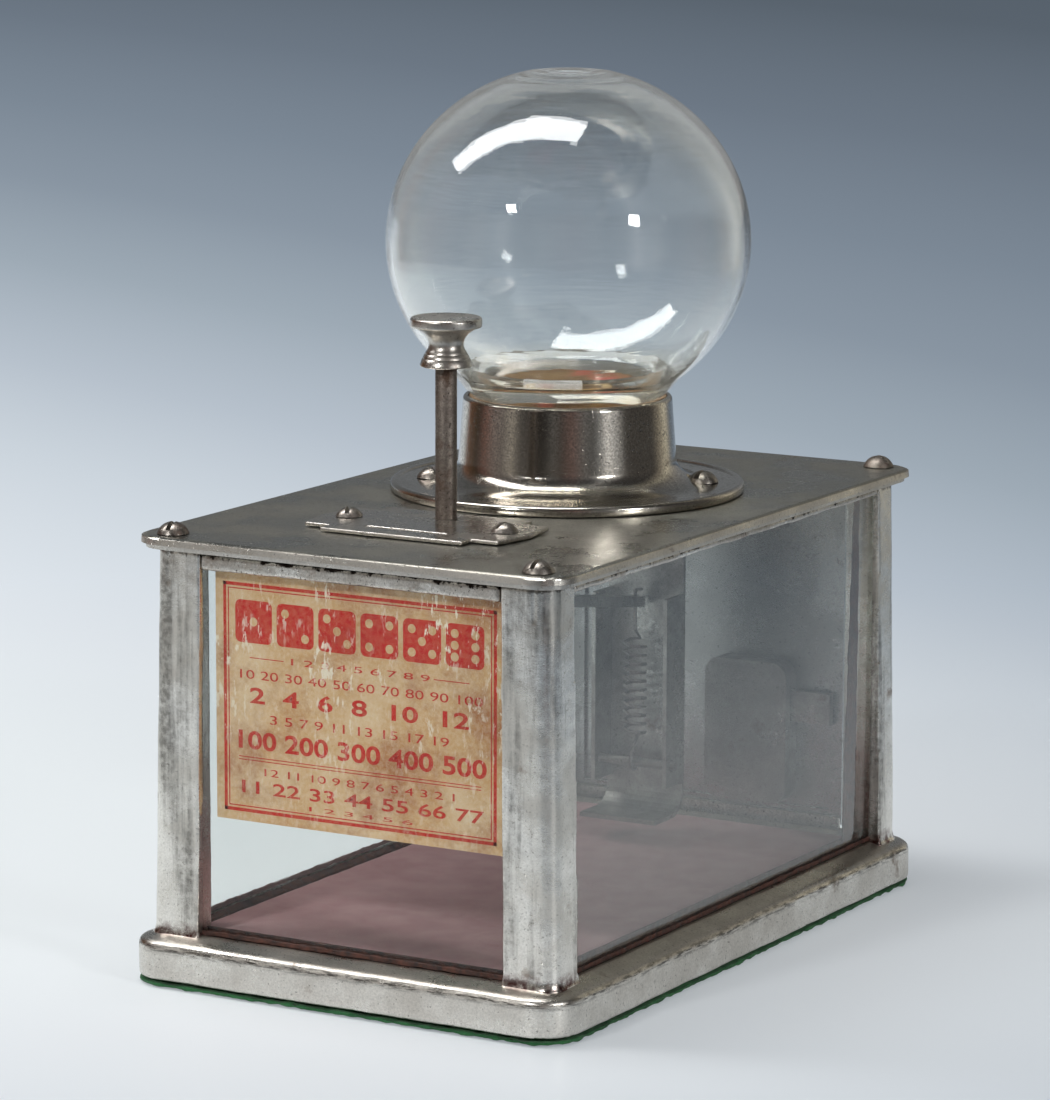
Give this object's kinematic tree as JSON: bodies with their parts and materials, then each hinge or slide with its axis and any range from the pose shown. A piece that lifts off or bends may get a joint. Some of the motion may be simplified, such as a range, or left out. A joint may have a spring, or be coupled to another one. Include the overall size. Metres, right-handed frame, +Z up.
{
  "type": "trade stimulator",
  "caption": "Counter trade stimulator: a glass-sided nickel case with a blown glass globe on a collar and a spring plunger that kicks the popper inside the globe.",
  "frame": {"origin": "middle of the felt pad's underside, on the surface the machine stands on", "axes": "+Z up; the front with the card and the plunger faces -Y; +X runs along the front to the right"},
  "size_m": [0.1316, 0.2096, 0.2341],
  "materials": {
    "nickel": "worn nickel plate, satin, with scratches and dull patches",
    "plate_nickel": "tarnished nickel plate, grey-green, satin",
    "bright_nickel": "polished nickel plate with brown stains",
    "screw_nickel": "worn nickel plate",
    "pitted_steel": "dark, pitted and rust-stained steel",
    "works_steel": "plain steel sheet and strip, dull",
    "spring_steel": "spring wire",
    "brass": "turned brass, dull",
    "window_glass": "flat pane, a little hazed inside",
    "globe_glass": "blown glass, clear",
    "card": "aged printed card",
    "putty": "old dark red-brown glazing putty",
    "green_felt": "dark green felt",
    "maroon_felt": "faded maroon felt",
    "red_felt": "red felt",
    "cork": "cork ring, brown",
    "board_wood": "plain softwood board"
  },
  "bodies": {
    "root": {"felt_pad": "green_felt", "base_frame": "nickel", "floor_board": "board_wood", "floor_felt": "maroon_felt", "post_front_left": "nickel", "post_front_right": "nickel", "post_rear_left": "nickel", "post_rear_right": "nickel", "rail_front": "nickel", "rail_rear": "nickel", "rail_left": "nickel", "rail_right": "nickel", "glass_front": "window_glass", "glass_left": "window_glass", "glass_right": "window_glass", "label_card": "card", "putty_front": "putty", "putty_left": "putty", "putty_right": "putty", "top_plate": "plate_nickel", "case_screw_front_left": "screw_nickel", "case_screw_front_right": "screw_nickel", "case_screw_rear_left": "screw_nickel", "case_screw_rear_right": "screw_nickel", "coin_plate": "nickel", "coin_plate_screw_left": "screw_nickel", "coin_plate_screw_right": "screw_nickel", "coin_chute": "works_steel", "plunger_guide": "brass", "globe_ring": "bright_nickel", "flange_screw_left": "screw_nickel", "flange_screw_right": "screw_nickel", "globe_gasket": "cork", "glass_globe": "globe_glass", "works_plate": "works_steel", "lever_bracket": "works_steel", "lever_pivot_pin": "works_steel", "works_leg": "works_steel", "leg_rivet_left": "works_steel", "leg_rivet_right": "works_steel", "spring_stud": "works_steel", "return_spring": "spring_steel", "popper_guide": "brass", "hinge_leaf_post": "nickel", "hinge_pin": "works_steel"},
    "plunger": {"plunger_rod": "pitted_steel", "plunger_knob": "nickel", "plunger_cross_pin": "works_steel"},
    "lever": {"lever": "works_steel"},
    "popper": {"popper_felt": "red_felt", "popper_cup": "brass", "popper_stem": "works_steel"},
    "door": {"rear_door": "nickel", "hinge_leaf_door": "nickel", "lock_case": "works_steel"},
    "barrel": {"lock_barrel": "brass"},
    "bolt": {"lock_bolt": "works_steel"}
  },
  "joints": [
    {"name": "plunger_press", "type": "slide", "parent": "root", "child": "plunger", "axis": [0, 0, -1], "range_m": [0, 0.014], "stiffness_N_per_m": 150, "springref_m": -0.03, "deforming": ["return_spring"]},
    {"name": "lever_rock", "type": "hinge", "parent": "root", "child": "lever", "pos_m": [-0.0018, -0.0035, 0.0918], "axis": [1, 0, 0], "range_deg": [0, 18.6]},
    {"name": "popper_rise", "type": "slide", "parent": "root", "child": "popper", "axis": [0, 0, 1], "range_m": [0, 0.00705]},
    {"name": "door_swing", "type": "hinge", "parent": "root", "child": "door", "pos_m": [-0.04435, 0.1012, 0.062], "axis": [0, 0, 1], "range_deg": [0, 105]},
    {"name": "bolt_throw", "type": "slide", "parent": "door", "child": "bolt", "axis": [1, 0, 0], "range_m": [0, 0.006]},
    {"name": "lock_turn", "type": "hinge", "parent": "door", "child": "barrel", "pos_m": [0.016, 0.097, 0.0406], "axis": [0, 1, 0], "range_deg": [0, 90.5]}
  ],
  "couplings": [
    {"joint": "lever_rock", "follows": "plunger_press", "rad_per_m": 23.05},
    {"joint": "popper_rise", "follows": "plunger_press", "ratio": 0.5},
    {"joint": "lock_turn", "follows": "bolt_throw", "rad_per_m": 261.8}
  ]
}
